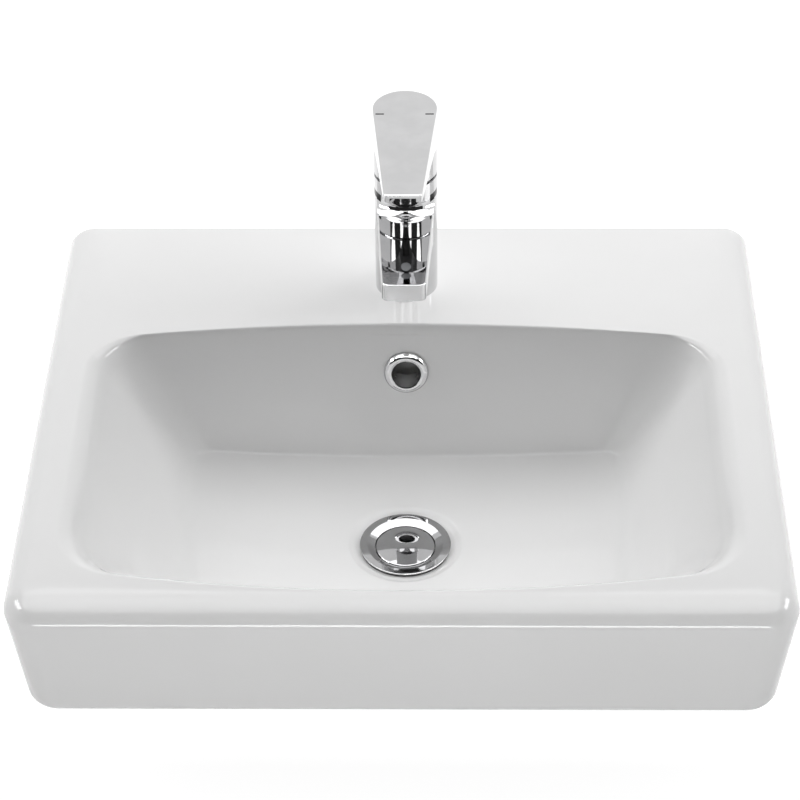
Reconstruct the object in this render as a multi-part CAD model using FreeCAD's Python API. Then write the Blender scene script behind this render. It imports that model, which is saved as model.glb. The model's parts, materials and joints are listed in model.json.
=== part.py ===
import FreeCAD, Part
import math
import os

# Wall-hung ceramic washbasin with a single-lever mixer tap, an overflow ring and a push-open waste.
# Millimetres. The origin is in the wall plane, midway between the two wall-fixing holes.
# +X is to the right seen from the front, +Y points into the wall and +Z is up.

# Basin body
basin_width = 500.0
basin_depth = 415.0
apron_height = 90.0
rim_above_fixings = 62.0
ceramic_wall = 11.0
deck_thickness = 16.0
side_lean = 10.2
front_corner_radius = 21.0
back_corner_radius = 8.0
top_edge_radius = 17.0
back_edge_radius = 4.0
bottom_edge_radius = 7.6
back_face_trim = 0.3
edge_steps = 6

# Bowl: its outline at the rim, at the foot of its walls and at the waste
rim_half_width = 222.0
rim_back = 119.0
rim_front = 397.5
rim_back_corner = 42.0
rim_front_corner = 44.0
rim_back_bow_radius = 1340.0
rim_front_bow_radius = 1110.0
floor_half_width = 149.0
floor_back = 138.3
floor_front = 324.0
floor_back_corner = 13.0
floor_front_corner = 66.0
floor_back_bow_radius = 6000.0
floor_front_bow_radius = 1500.0
wall_depth = 105.0
bowl_depth = 112.1
waste_from_wall = 229.3
seat_radius = 33.0
seat_flat = 0.2
dish_radius = 42.5
dish_depth = 3.1

# Each row goes one step down the bowl wall: share of the wall depth, then of the way in from the
# rim outline to the floor outline at the sides, at the back and at the front
wall_step_shares = (
    (0.0, 0.0, 0.0, 0.0),
    (0.008, 0.05, 0.06, 0.03),
    (0.03, 0.11, 0.12, 0.065),
    (0.08, 0.175, 0.18, 0.11),
    (0.16, 0.24, 0.223, 0.175),
    (0.91, 0.88, 0.86, 0.79),
    (0.96, 0.93, 0.9, 0.85),
    (0.99, 0.97, 0.938, 0.92),
    (1.0, 1.0, 1.0, 1.0),
)

# Wall fixings
fixing_spacing = 280.0
fixing_hole_radius = 7.0
fixing_pad_radius = 18.0
fixing_pad_depth = 5.0

# Overflow hole and the passage from it to the waste
overflow_below_rim = 38.2
overflow_hole_radius = 12.5
duct_half_width = 20.0
duct_depth = 12.0
duct_wall = 7.0
duct_height = 13.0
duct_floor = 9.0
chamber_radius = 31.0
boss_radius = 41.0
waste_hole_radius = 23.5
waste_hole_funnel = 6.0

# Overflow ring
ring_outer_radius = 16.0
ring_bore_radius = 10.5
ring_barrel_radius = 12.2
ring_crown = 3.2
ring_barrel_length = 15.0
ring_slot_count = 4
ring_slot_width = 3.0
ring_slot_length = 9.0
ring_seat_gap = 0.15

# Tap column, collar and spout, measured up from the deck and out from the column's axis
tap_from_wall = 71.0
tap_hole_radius = 17.5
column_radius = 22.1
column_height = 86.0
neck_radius = 20.2
neck_height = 7.5
spigot_radius = 16.9
spigot_length = 4.0
spout_reach = 105.6
spout_below_column_top = 11.0
spout_lip_height = 13.5
spout_root_depth = 32.0
spout_root_half_width = 20.6
spout_tip_half_width = 14.9
spout_corner_radius = 4.5
spout_root_fillet = 8.0
spout_edge_radius = 0.9
spout_flat_length = 30.0
spout_underside_sag = 5.0

# Waterways in the tap
chamber_bore_radius = 17.6
chamber_depth = 20.0
inlet_spacing = 16.0
inlet_forward = 0.5
inlet_bore_radius = 3.2
inlet_thread_radius = 4.5
inlet_thread_length = 13.0
outlet_forward = 9.5
outlet_bore_radius = 4.2
outlet_pocket_depth = 6.0
aerator_back_from_tip = 13.5
aerator_bore_radius = 11.5
aerator_bore_height = 8.5

# Tap fastening under the deck
stud_back = 11.5
stud_radius = 4.0
stud_in_body = 12.0
stud_length = 72.0
seal_groove_depth = 1.6
base_seal_inner_radius = 18.2
base_seal_outer_radius = 20.6
horseshoe_radius = 24.0
horseshoe_slot_half_width = 13.5
horseshoe_slot_back = 5.0
rubber_horseshoe_thickness = 3.0
steel_horseshoe_thickness = 2.5
stud_nut_flats = 13.0
stud_nut_height = 12.0

# Cartridge
cartridge_radius = 17.3
cartridge_base_thickness = 3.0
port_seal_thickness = 1.2
port_seal_width = 1.4
housing_height = 19.0
housing_bore_radius = 15.3
housing_shoulder = 2.0
housing_throat_radius = 11.2
fixed_disc_radius = 14.6
disc_thickness = 4.0
moving_disc_radius = 12.2
disc_gap = 0.1
mixing_port_length = 14.0
mixing_port_width = 16.0
mixing_port_depth = 2.5
carriage_height = 4.5
carriage_pocket_depth = 3.6
turner_flange_radius = 15.0
turner_flange_height = 3.6
turner_gap = 0.3
turret_radius = 10.8
turret_above_pivot = 7.5
turret_slot_half_width = 4.4
turret_slot_half_length = 8.6
clamp_nut_socket_flats = 26.0

# Lever motion: the pivot lies level with the top of the collar ring
collar_height = 9.5
spindle_lean = 12.5
spindle_arm = 12.6
spindle_reach = 34.0
spindle_half_width = 4.0
spindle_rod_radius = 3.0
spindle_ball_radius = 3.4
spindle_ball_gap = 0.25
pivot_pin_radius = 1.5
pivot_pin_gap = 0.05
pivot_pin_half_length = 10.2

# Collar ring with its dome
collar_bore_gap = 0.15
dome_radius = 19.3
dome_wall = 1.3
dome_opening_radius = 12.8

# Lever handle
handle_gap = 2.5
lever_top_above_pivot = 52.4
lever_reach = 105.8
lever_tip_half_width = 12.6
lever_tip_corner = 3.0
lever_tip_thickness = 5.5
lever_root_thickness = 22.9
lever_edge_radius = 0.8
lever_recess_half_width = 8.5
lever_recess_skin = 2.8
lever_recess_back = 50.0
handle_clearance_angle = 27.0
handle_dome_gap = 0.7
socket_boss_radius = 7.0
socket_boss_above_pivot = 15.5
screw_above_pivot = 24.5
screw_radius = 2.5
screw_length = 8.0
cap_radius = 3.4
cap_length = 3.2
cap_proud = 0.3

# Aerator
aerator_wall = 2.0
aerator_proud = 2.4
aerator_insert_height = 6.0
aerator_hole_radius = 1.1
aerator_hole_pitch = 3.2
aerator_hole_rings = 2
aerator_holes_per_ring = 6
aerator_washer_thickness = 1.5
aerator_washer_width = 3.0

# Waste, measured up from its seat in the bowl and out from its axis
flange_radius = 31.7
flange_lip = 2.7
flange_lip_round = 0.5
flange_face_inner_radius = 26.5
top_seal_thickness = 1.8
top_seal_inner_radius = 25.5
tail_radius = 20.955
tail_bore_radius = 17.5
tail_length = 85.0
recess_radius = 21.3
recess_mouth = 0.2
recess_depth = 4.0
flange_cone_foot = 22.9
slot_half_width = 7.0
slot_count = 4
spider_height = 6.0
spider_below_seat = 44.0
spider_arm_half_width = 2.0
spider_arms = 3
spider_hub_radius = 9.0
lower_seal_radius = 29.0
lower_seal_thickness = 4.0
lower_seal_chamfer = 1.5
slip_washer_thickness = 1.5
backnut_flats = 52.0
backnut_height = 8.0
backnut_chamfer = 1.5
tail_groove_width = 2.0
tail_groove_depth = 0.6

# Plug and its push latch
plug_radius = 20.6
plug_rim_top = 0.6
plug_rim_thickness = 1.6
plug_edge_radius = 0.9
plug_dome_radius = 200.0
plug_seal_inner_radius = 13.0
plug_seal_radius = 20.2
plug_seal_gap = 0.1
plug_holder_radius = 13.0
stem_radius = 4.0
stem_length = 40.0
stem_gap = 0.3
latch_radius = 6.2
latch_length = 37.0
latch_floor = 2.5
latch_top_below_seat = 20.0
spring_wire_radius = 0.45
spring_coil_radius = 3.2
spring_turns = 5.0

# Cuts run this far past the faces that they open
overrun = 2.0
# Two lengths closer than this are taken as equal
same_length = 0.001

# Places that follow from the sizes above
rim_level = rim_above_fixings
seat_level = rim_level - bowl_depth
apron_bottom = rim_level - apron_height
duct_roof = seat_level - ceramic_wall
boss_bottom = duct_roof - duct_height - duct_floor
tap_place = FreeCAD.Vector(0, -tap_from_wall, rim_level)
waste_place = FreeCAD.Vector(0, -waste_from_wall, seat_level)
spout_top = column_height - spout_below_column_top
spout_root_bottom = spout_top - spout_root_depth
chamber_floor = column_height - chamber_depth
pivot_height = column_height + collar_height
lever_top = pivot_height + lever_top_above_pivot
lever_root_underside = lever_top - lever_root_thickness
screw_height = pivot_height + screw_above_pivot
disc_floor = chamber_floor + port_seal_thickness + cartridge_base_thickness
disc_rest_y = spindle_arm * math.sin(math.radians(spindle_lean))
turner_low = disc_floor + housing_height - housing_shoulder - turner_gap - turner_flange_height
hexagon_sides = 6
diagonal = math.sqrt(0.5)
quarter_turn = 90.0
half_turn = 180.0
full_turn = 360.0
along_x = FreeCAD.Vector(1, 0, 0)
along_y = FreeCAD.Vector(0, 1, 0)
along_z = FreeCAD.Vector(0, 0, 1)
middle = FreeCAD.Vector(0, 0, 0)


def disc(radius, low, high, x=0.0, y=0.0):
    return Part.makeCylinder(radius, high - low, FreeCAD.Vector(x, y, low))


def tube(inner, outer, low, high, x=0.0, y=0.0):
    return disc(outer, low, high, x, y).cut(disc(inner, low - overrun, high + overrun, x, y))


def block(x_low, x_high, y_low, y_high, z_low, z_high):
    corner = FreeCAD.Vector(x_low, y_low, z_low)
    return Part.makeBox(x_high - x_low, y_high - y_low, z_high - z_low, corner)


def rod(radius, start, end):
    """A round bar from one point to another."""
    return Part.makeCylinder(radius, (end - start).Length, start, end - start)


def spun(outline):
    """The solid of revolution of an outline of radius and height pairs about the Z axis."""
    points = [FreeCAD.Vector(radius, 0, height) for radius, height in outline]
    face = Part.Face(Part.makePolygon(points + points[:1]))
    return face.revolve(middle, along_z, full_turn)


def hexagon_corner(flats):
    """The distance from a hexagon's centre to its corners, from its width across flats."""
    return flats / 2 / math.cos(math.radians(half_turn / hexagon_sides))


def hexagon(flats, low, high):
    """A hexagonal prism of a given width across flats."""
    corner = hexagon_corner(flats)
    points = []
    for side in range(hexagon_sides):
        angle = math.radians(full_turn * side / hexagon_sides)
        points.append(FreeCAD.Vector(corner * math.cos(angle), corner * math.sin(angle), low))
    face = Part.Face(Part.makePolygon(points + points[:1]))
    return face.extrude(along_z * (high - low))


def around(shape, count, axis=along_z, centre=middle, start=0.0):
    """Copies of a shape spaced evenly about an axis."""
    copies = []
    for index in range(count):
        copy = shape.copy()
        copy.rotate(centre, axis, start + full_turn * index / count)
        copies.append(copy)
    return copies


def circles_of(shape, radius, height):
    """The circular edges of a radius at a height about the Z axis."""
    return [edge for edge in shape.Edges
            if not edge.Degenerated and edge.Curve.TypeId == "Part::GeomCircle"
            and abs(edge.Curve.Radius - radius) < same_length
            and abs(edge.Curve.Center.z - height) < same_length]


def blend(first, last, share):
    return first + (last - first) * share


def end_of_outline(half_width, reach, corner, bow_radius, facing):
    """The tangent points, corner middle and bow middle of one end of an outline.

    The end reaches to y = facing * reach on the centreline, bowed outwards by its radius.
    """
    bow_centre = reach - bow_radius
    along = half_width - corner
    corner_y = bow_centre + math.sqrt((bow_radius - corner) ** 2 - along ** 2)
    lean = math.atan2(corner_y - bow_centre, along)
    side_point = (half_width, facing * corner_y)
    middle_point = (along + corner * math.cos(lean / 2), facing * (corner_y + corner * math.sin(lean / 2)))
    bow_point = (along + corner * math.cos(lean), facing * (corner_y + corner * math.sin(lean)))
    return side_point, middle_point, bow_point, (0.0, facing * reach)


def bowed_outline(level, half_width, back, front, back_corner, front_corner, back_bow, front_bow):
    """A closed outline at one level with straight sides, round corners and bowed ends."""
    shift = (back + front) / 2
    reach = (front - back) / 2
    back_end = end_of_outline(half_width, reach, back_corner, back_bow, 1)
    front_end = end_of_outline(half_width, reach, front_corner, front_bow, -1)

    def at(point, side):
        return FreeCAD.Vector(side * point[0], point[1] - shift, level)

    def arc(first, mid, last):
        return Part.Arc(first, mid, last).toShape()

    edges = [Part.makeLine(at(back_end[0], 1), at(front_end[0], 1))]
    edges.append(arc(at(front_end[0], 1), at(front_end[1], 1), at(front_end[2], 1)))
    edges.append(arc(at(front_end[2], 1), at(front_end[3], 1), at(front_end[2], -1)))
    edges.append(arc(at(front_end[2], -1), at(front_end[1], -1), at(front_end[0], -1)))
    edges.append(Part.makeLine(at(front_end[0], -1), at(back_end[0], -1)))
    edges.append(arc(at(back_end[0], -1), at(back_end[1], -1), at(back_end[2], -1)))
    edges.append(arc(at(back_end[2], -1), at(back_end[3], -1), at(back_end[2], 1)))
    edges.append(arc(at(back_end[2], 1), at(back_end[1], 1), at(back_end[0], 1)))
    return Part.Wire(edges)


def bowl_solid(grow):
    """The bowl's hollow, or with a growth the outside of its shell.

    Its walls stand on a sloping floor, with a shallow dish round the waste.
    """
    outlines = []
    for depth_share, side_share, back_share, front_share in wall_step_shares:
        outlines.append(bowed_outline(
            rim_level - grow - wall_depth * depth_share,
            blend(rim_half_width, floor_half_width, side_share) + grow,
            blend(rim_back, floor_back, back_share) - grow,
            blend(rim_front, floor_front, front_share) + grow,
            blend(rim_back_corner, floor_back_corner, depth_share) + grow,
            blend(rim_front_corner, floor_front_corner, depth_share) + grow,
            blend(rim_back_bow_radius, floor_back_bow_radius, depth_share) + grow,
            blend(rim_front_bow_radius, floor_front_bow_radius, depth_share) + grow))
    for radius, level in ((dish_radius + grow, seat_level + dish_depth - grow),
                          (seat_radius + grow, seat_level - grow)):
        outlines.append(bowed_outline(
            level, radius, waste_from_wall - radius, waste_from_wall + radius,
            radius - seat_flat, radius - seat_flat, floor_back_bow_radius, floor_front_bow_radius))
    return Part.makeLoft(outlines, True, True)


def apron_half_width(level):
    """Half the apron's width at a level: its sides lean in towards the bottom."""
    widest = rim_level - top_edge_radius
    share = max(0.0, (widest - level) / (widest - apron_bottom))
    return basin_width / 2 - side_lean * share


def apron_outline(level, top_inset, back_inset, corner_inset):
    """The basin's outside at one level, drawn in by the rounding of its edges."""
    half = apron_half_width(level)
    front_corner = front_corner_radius - corner_inset
    back_corner = back_corner_radius - back_inset
    return straight_outline(level, half - top_inset, back_inset - back_face_trim,
                            basin_depth - top_inset, back_corner, front_corner)


def straight_outline(level, half, back, front, back_corner, front_corner):
    """A rounded rectangle with its back corners and its front corners of two radii."""
    corners = (
        (half, -back, -1, 1, back_corner),
        (half, -front, -1, -1, front_corner),
        (-half, -front, 1, -1, front_corner),
        (-half, -back, 1, 1, back_corner),
    )
    rounds = []
    for index, (x, y, toward_x, up, radius) in enumerate(corners):
        centre = FreeCAD.Vector(x + toward_x * radius, y - up * radius, level)
        beside = FreeCAD.Vector(x, centre.y, level)
        ahead = FreeCAD.Vector(centre.x, y, level)
        bulge = centre + FreeCAD.Vector(-toward_x * diagonal, up * diagonal, 0) * radius
        entry, leave = (ahead, beside) if index % 2 == 0 else (beside, ahead)
        rounds.append((entry, bulge, leave))
    edges = []
    for index, (entry, bulge, leave) in enumerate(rounds):
        edges.append(Part.Arc(entry, bulge, leave).toShape())
        edges.append(Part.makeLine(leave, rounds[(index + 1) % len(rounds)][0]))
    return Part.Wire(edges)


def apron_solid():
    """The solid block of the basin's outside, its edges rounded and its back trimmed to the wall."""
    top = []
    bottom = []
    for step in range(edge_steps + 1):
        angle = math.radians(quarter_turn * step / edge_steps)
        rise = 1 - math.cos(angle)
        inset = 1 - math.sin(angle)
        top.append(apron_outline(
            rim_level - top_edge_radius * rise, top_edge_radius * inset,
            back_edge_radius * inset, top_edge_radius * inset))
        bottom.append(apron_outline(
            apron_bottom + bottom_edge_radius * inset, bottom_edge_radius * rise,
            0.0, bottom_edge_radius * rise))
    blank = Part.makeLoft(top + bottom, True, True)
    return blank.common(block(-basin_width, basin_width, -basin_depth - overrun, 0.0,
                              apron_bottom - overrun, rim_level + overrun))


def under_hollow():
    """The space under the deck, between the apron, the back plate and the bowl, open below."""
    outlines = []
    inner_corner = front_corner_radius - ceramic_wall
    for level in (rim_level - deck_thickness, apron_bottom - overrun):
        outlines.append(straight_outline(
            level, apron_half_width(level) - ceramic_wall, ceramic_wall,
            basin_depth - ceramic_wall, inner_corner, inner_corner))
    return Part.makeLoft(outlines, True, True)


def back_wall_inset(below_rim):
    """How far the bowl's back wall stands from the wall on the centreline at a depth."""
    share = below_rim / wall_depth
    for upper, lower in zip(wall_step_shares, wall_step_shares[1:]):
        if upper[0] <= share <= lower[0]:
            along = (share - upper[0]) / (lower[0] - upper[0])
            return blend(rim_back, floor_back, blend(upper[2], lower[2], along))
    return floor_back


def duct_faces():
    """The y of the passage's front and back faces behind the bowl's back wall."""
    front = -back_wall_inset(overflow_below_rim) + ceramic_wall
    return front, front + duct_depth


def back_wall_tilt():
    """The lean of the bowl's back wall from upright at the overflow, in degrees."""
    above = back_wall_inset(overflow_below_rim - ring_bore_radius)
    below = back_wall_inset(overflow_below_rim + ring_bore_radius)
    return math.degrees(math.atan2(below - above, ring_bore_radius + ring_bore_radius))


def at_overflow(shape, out=0.0):
    """Moves a shape drawn about +Z at the origin so that it comes out of the bowl's back wall."""
    shape.translate(FreeCAD.Vector(0, 0, out))
    shape.rotate(middle, along_x, quarter_turn - back_wall_tilt())
    stand = FreeCAD.Vector(0, -back_wall_inset(overflow_below_rim), rim_level - overflow_below_rim)
    shape.translate(stand)
    return shape


def basin():
    body = apron_solid().cut(under_hollow())
    pad_low = -ceramic_wall - fixing_pad_depth
    for side in (-1, 1):
        centre = FreeCAD.Vector(side * fixing_spacing / 2, 0, 0)
        reach = FreeCAD.Vector(0, pad_low, 0)
        skin = FreeCAD.Vector(0, -ceramic_wall / 2, 0)
        body = body.fuse(rod(fixing_pad_radius, centre + skin, centre + reach))
    duct_front, duct_back = duct_faces()
    duct_out = duct_half_width + duct_wall
    boss_top = seat_level - ceramic_wall / 2
    added = [
        bowl_solid(ceramic_wall),
        block(-duct_out, duct_out, duct_front - duct_wall, duct_back + duct_wall, boss_bottom,
              rim_level - deck_thickness / 2),
        block(-duct_out, duct_out, -waste_from_wall, duct_back + duct_wall, boss_bottom, boss_top),
        disc(boss_radius, boss_bottom, boss_top, 0.0, -waste_from_wall),
    ]
    body = body.fuse(added)
    removed = [
        bowl_solid(0.0),
        block(-duct_half_width, duct_half_width, duct_front, duct_back, duct_roof - duct_height,
              rim_level - overflow_below_rim + overflow_hole_radius),
        block(-duct_half_width, duct_half_width, -waste_from_wall, duct_back,
              duct_roof - duct_height, duct_roof),
        disc(chamber_radius, duct_roof - duct_height, duct_roof, 0.0, -waste_from_wall),
        disc(waste_hole_radius, boss_bottom - overrun, seat_level + overrun, 0.0, -waste_from_wall),
        disc(tap_hole_radius, rim_level - deck_thickness - overrun, rim_level + overrun,
             0.0, -tap_from_wall),
        at_overflow(disc(overflow_hole_radius, -ring_barrel_length - overrun, duct_wall)),
        waste_funnel(),
    ]
    for side in (-1, 1):
        centre = FreeCAD.Vector(side * fixing_spacing / 2, 0, 0)
        removed.append(rod(fixing_hole_radius, centre + along_y * overrun,
                           centre + along_y * (pad_low - overrun)))
    return body.cut(removed).removeSplitter()


def waste_funnel():
    """The funnel from the seat down to the waste hole."""
    funnel = Part.makeCone(waste_hole_radius, top_seal_inner_radius, waste_hole_funnel)
    funnel.translate(waste_place - along_z * waste_hole_funnel)
    return funnel


def overflow_ring():
    """A domed ring with a barrel whose slotted legs grip the hole in the ceramic."""
    crown_middle = (ring_outer_radius + ring_bore_radius) / 2
    half_crown = (ring_outer_radius - ring_bore_radius) / 2
    outline = Part.Wire([
        Part.makeLine(FreeCAD.Vector(ring_bore_radius, 0, 0), FreeCAD.Vector(ring_outer_radius, 0, 0)),
        Part.Arc(FreeCAD.Vector(ring_outer_radius, 0, 0),
                 FreeCAD.Vector(crown_middle + half_crown * diagonal, 0,
                                ring_crown * diagonal),
                 FreeCAD.Vector(ring_bore_radius, 0, ring_crown)).toShape(),
        Part.makeLine(FreeCAD.Vector(ring_bore_radius, 0, ring_crown),
                      FreeCAD.Vector(ring_bore_radius, 0, 0)),
    ])
    crown = Part.Face(outline).revolve(middle, along_z, full_turn)
    ring = crown.fuse(tube(ring_bore_radius, ring_barrel_radius, -ring_barrel_length, 0.0))
    slot = block(0.0, ring_barrel_radius + overrun, -ring_slot_width / 2, ring_slot_width / 2,
                 -ring_barrel_length - overrun, ring_slot_length - ring_barrel_length)
    ring = ring.cut(around(slot, ring_slot_count, start=half_turn / ring_slot_count))
    return at_overflow(ring, ring_seat_gap)


def spout_plan(high):
    """The spout seen from above, as a slab from the deck up, with its tip corners rounded."""
    tip_y = -spout_reach
    plan = Part.makePolygon([
        FreeCAD.Vector(-spout_root_half_width, 0, 0),
        FreeCAD.Vector(-spout_tip_half_width, tip_y, 0),
        FreeCAD.Vector(spout_tip_half_width, tip_y, 0),
        FreeCAD.Vector(spout_root_half_width, 0, 0),
        FreeCAD.Vector(-spout_root_half_width, 0, 0),
    ])
    slab = Part.Face(plan).extrude(along_z * high)
    corners = [edge for edge in slab.Edges
               if edge.BoundBox.YMax < tip_y + spout_corner_radius
               and edge.BoundBox.ZLength > spout_corner_radius]
    return slab.makeFillet(spout_corner_radius, corners)


def spout():
    """The spout: its plan crossed with its side outline, open at the root."""
    tip_y = -spout_reach
    lip_bottom = spout_top - spout_lip_height
    root = FreeCAD.Vector(-column_radius, -column_radius / 2, spout_root_bottom)
    knee = FreeCAD.Vector(-column_radius, tip_y + spout_flat_length, lip_bottom)
    sag = (root + knee) / 2 + along_z * spout_underside_sag

    def at(y, z):
        return FreeCAD.Vector(-column_radius, y, z)

    side = Part.Face(Part.Wire([
        Part.makeLine(at(0, spout_top), at(tip_y, spout_top)),
        Part.makeLine(at(tip_y, spout_top), at(tip_y, lip_bottom)),
        Part.makeLine(at(tip_y, lip_bottom), knee),
        Part.Arc(knee, sag, root).toShape(),
        Part.makeLine(root, at(0, spout_root_bottom)),
        Part.makeLine(at(0, spout_root_bottom), at(0, spout_top)),
    ]))
    bar = spout_plan(spout_top + overrun).common(side.extrude(along_x * (column_radius + column_radius)))
    tip_edges = [edge for edge in bar.Edges
                 if edge.BoundBox.YMin < tip_y + spout_corner_radius
                 and edge.BoundBox.ZLength < spout_edge_radius]
    bar = bar.makeFillet(spout_edge_radius, tip_edges)
    return bar.fuse(spout_root_web())


def spout_root_web():
    """The hollow curve that joins the spout's flat top to the column."""
    inner = column_radius - overrun
    reach = column_radius + spout_root_fillet
    low = spout_top - overrun
    swing = spout_root_fillet * (1 - diagonal)

    def at(radius, z):
        return FreeCAD.Vector(radius, 0, z)

    outline = Part.Face(Part.Wire([
        Part.makeLine(at(inner, low), at(reach, low)),
        Part.makeLine(at(reach, low), at(reach, spout_top)),
        Part.Arc(at(reach, spout_top), at(column_radius + swing, spout_top + swing),
                 at(column_radius, spout_top + spout_root_fillet)).toShape(),
        Part.makeLine(at(column_radius, spout_top + spout_root_fillet),
                      at(inner, spout_top + spout_root_fillet)),
        Part.makeLine(at(inner, spout_top + spout_root_fillet), at(inner, low)),
    ]))
    web = outline.revolve(middle, along_z, full_turn)
    return web.common(spout_plan(column_height))


def tap_waterways():
    """The bores in the tap body: cartridge chamber, two inlets, outlet and aerator bore."""
    outlet_low = chamber_floor - outlet_pocket_depth
    aerator_y = -spout_reach + aerator_back_from_tip
    lip_bottom = spout_top - spout_lip_height
    channel_start = FreeCAD.Vector(0, -outlet_forward, outlet_low + outlet_bore_radius)
    channel_end = FreeCAD.Vector(0, aerator_y, lip_bottom + aerator_bore_height - outlet_bore_radius)
    cuts = [
        disc(chamber_bore_radius, chamber_floor, column_height + neck_height + overrun),
        disc(outlet_bore_radius, outlet_low, chamber_floor + overrun, 0.0, -outlet_forward),
        rod(outlet_bore_radius, channel_start, channel_end),
        disc(aerator_bore_radius, lip_bottom - overrun, lip_bottom + aerator_bore_height,
             0.0, aerator_y),
        disc(stud_radius, -spigot_length - overrun, stud_in_body, 0.0, stud_back),
        tube(base_seal_inner_radius, base_seal_outer_radius, -overrun, seal_groove_depth),
    ]
    for side in (-1, 1):
        x = side * inlet_spacing / 2
        cuts.append(disc(inlet_bore_radius, 0.0, chamber_floor + overrun, x, -inlet_forward))
        cuts.append(disc(inlet_thread_radius, -spigot_length - overrun,
                         inlet_thread_length - spigot_length, x, -inlet_forward))
    return cuts


def tap_body():
    column = disc(column_radius, 0.0, column_height)
    neck = disc(neck_radius, column_height - overrun, column_height + neck_height)
    spigot = disc(spigot_radius, -spigot_length, overrun)
    body = column.fuse([spout(), neck, spigot]).cut(tap_waterways())
    body.translate(tap_place)
    return body.removeSplitter()


def tap_base_seal():
    seal = tube(base_seal_inner_radius, base_seal_outer_radius, 0.0, seal_groove_depth)
    seal.translate(tap_place)
    return seal


def tap_mounting_stud():
    stud = disc(stud_radius, stud_in_body - stud_length, stud_in_body, 0.0, stud_back)
    stud.translate(tap_place)
    return stud


def horseshoe(high, thickness):
    """A washer with a wide slot for the supply tails, held by the stud."""
    plate = disc(horseshoe_radius, high - thickness, high)
    slot = block(-horseshoe_slot_half_width, horseshoe_slot_half_width,
                 -horseshoe_radius - overrun, horseshoe_slot_back,
                 high - thickness - overrun, high + overrun)
    hole = disc(stud_radius, high - thickness - overrun, high + overrun, 0.0, stud_back)
    plate = plate.cut([slot, hole])
    plate.translate(tap_place)
    return plate


def tap_rubber_horseshoe():
    return horseshoe(-deck_thickness, rubber_horseshoe_thickness)


def tap_steel_horseshoe():
    return horseshoe(-deck_thickness - rubber_horseshoe_thickness, steel_horseshoe_thickness)


def tap_mounting_nut():
    high = -deck_thickness - rubber_horseshoe_thickness - steel_horseshoe_thickness
    nut = hexagon(stud_nut_flats, high - stud_nut_height, high)
    nut.translate(along_y * stud_back)
    nut = nut.cut(disc(stud_radius, high - stud_nut_height - overrun, high + overrun,
                       0.0, stud_back))
    nut.translate(tap_place)
    return nut


def port_places():
    """Where the two inlets and the outlet pass through the cartridge's base, with their bores."""
    half = inlet_spacing / 2
    return ((-half, -inlet_forward, inlet_bore_radius), (half, -inlet_forward, inlet_bore_radius),
            (0.0, -outlet_forward, outlet_bore_radius))


def cartridge_port_seals():
    """Three rubber rings between the body's floor and the cartridge's base."""
    low = chamber_floor
    rings = [tube(bore, bore + port_seal_width, low, low + port_seal_thickness, x, y)
             for x, y, bore in port_places()]
    seals = Part.makeCompound(rings)
    seals.translate(tap_place)
    return seals


def cartridge_base():
    low = chamber_floor + port_seal_thickness
    plate = disc(cartridge_radius, low, low + cartridge_base_thickness)
    ports = [disc(bore, low - overrun, low + cartridge_base_thickness + overrun, x, y)
             for x, y, bore in port_places()]
    plate = plate.cut(ports)
    plate.translate(tap_place)
    return plate


def cartridge_housing():
    low = disc_floor
    high = low + housing_height
    shell = disc(cartridge_radius, low, high)
    inside = disc(housing_bore_radius, low - overrun, high - housing_shoulder)
    throat = disc(housing_throat_radius, low, high + overrun)
    shell = shell.cut([inside, throat])
    shell.translate(tap_place)
    return shell


def fixed_disc():
    plate = disc(fixed_disc_radius, disc_floor, disc_floor + disc_thickness)
    ports = [disc(bore, disc_floor - overrun, disc_floor + disc_thickness + overrun, x, y)
             for x, y, bore in port_places()]
    plate = plate.cut(ports)
    plate.translate(tap_place)
    return plate


def moving_disc():
    """The upper disc: a recess in its underside joins the inlets to the outlet as it slides."""
    low = disc_floor + disc_thickness + disc_gap
    plate = disc(moving_disc_radius, low, low + disc_thickness, 0.0, disc_rest_y)
    recess = block(-mixing_port_width / 2, mixing_port_width / 2,
                   disc_rest_y - mixing_port_length / 2, disc_rest_y + mixing_port_length / 2,
                   low - overrun, low + mixing_port_depth)
    plate = plate.cut(recess)
    plate.translate(tap_place)
    return plate


def disc_carriage():
    """The plastic driver on the moving disc, with the pocket that the spindle's ball works in."""
    low = disc_floor + disc_thickness + disc_gap + disc_thickness
    high = low + carriage_height
    carriage = disc(moving_disc_radius, low, high, 0.0, disc_rest_y)
    pocket = disc(spindle_ball_radius + spindle_ball_gap, high - carriage_pocket_depth,
                  high + overrun, 0.0, disc_rest_y)
    carriage = carriage.cut(pocket)
    carriage.translate(tap_place)
    return carriage


def cartridge_turner():
    """The turret that turns with the lever and carries its pivot pin."""
    low = turner_low
    turner = disc(turner_flange_radius, low, low + turner_flange_height)
    turner = turner.fuse(disc(turret_radius, low, pivot_height + turret_above_pivot))
    slot = block(-turret_slot_half_width, turret_slot_half_width,
                 -turret_slot_half_length, turret_slot_half_length,
                 low - overrun, pivot_height + turret_above_pivot + overrun)
    pin_hole = rod(pivot_pin_radius, along_z * pivot_height - along_x * pivot_pin_half_length,
                   along_z * pivot_height + along_x * pivot_pin_half_length)
    turner = turner.cut([slot, pin_hole])
    turner.translate(tap_place)
    return turner


def lever_pivot_pin():
    pin = rod(pivot_pin_radius, along_z * pivot_height - along_x * pivot_pin_half_length,
              along_z * pivot_height + along_x * pivot_pin_half_length)
    pin.translate(tap_place)
    return pin


def leaning(shape):
    """Leans a shape drawn about the pivot at the origin forward to its rest, and seats it."""
    shape.rotate(middle, along_x, spindle_lean)
    shape.translate(tap_place + along_z * pivot_height)
    return shape


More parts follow.
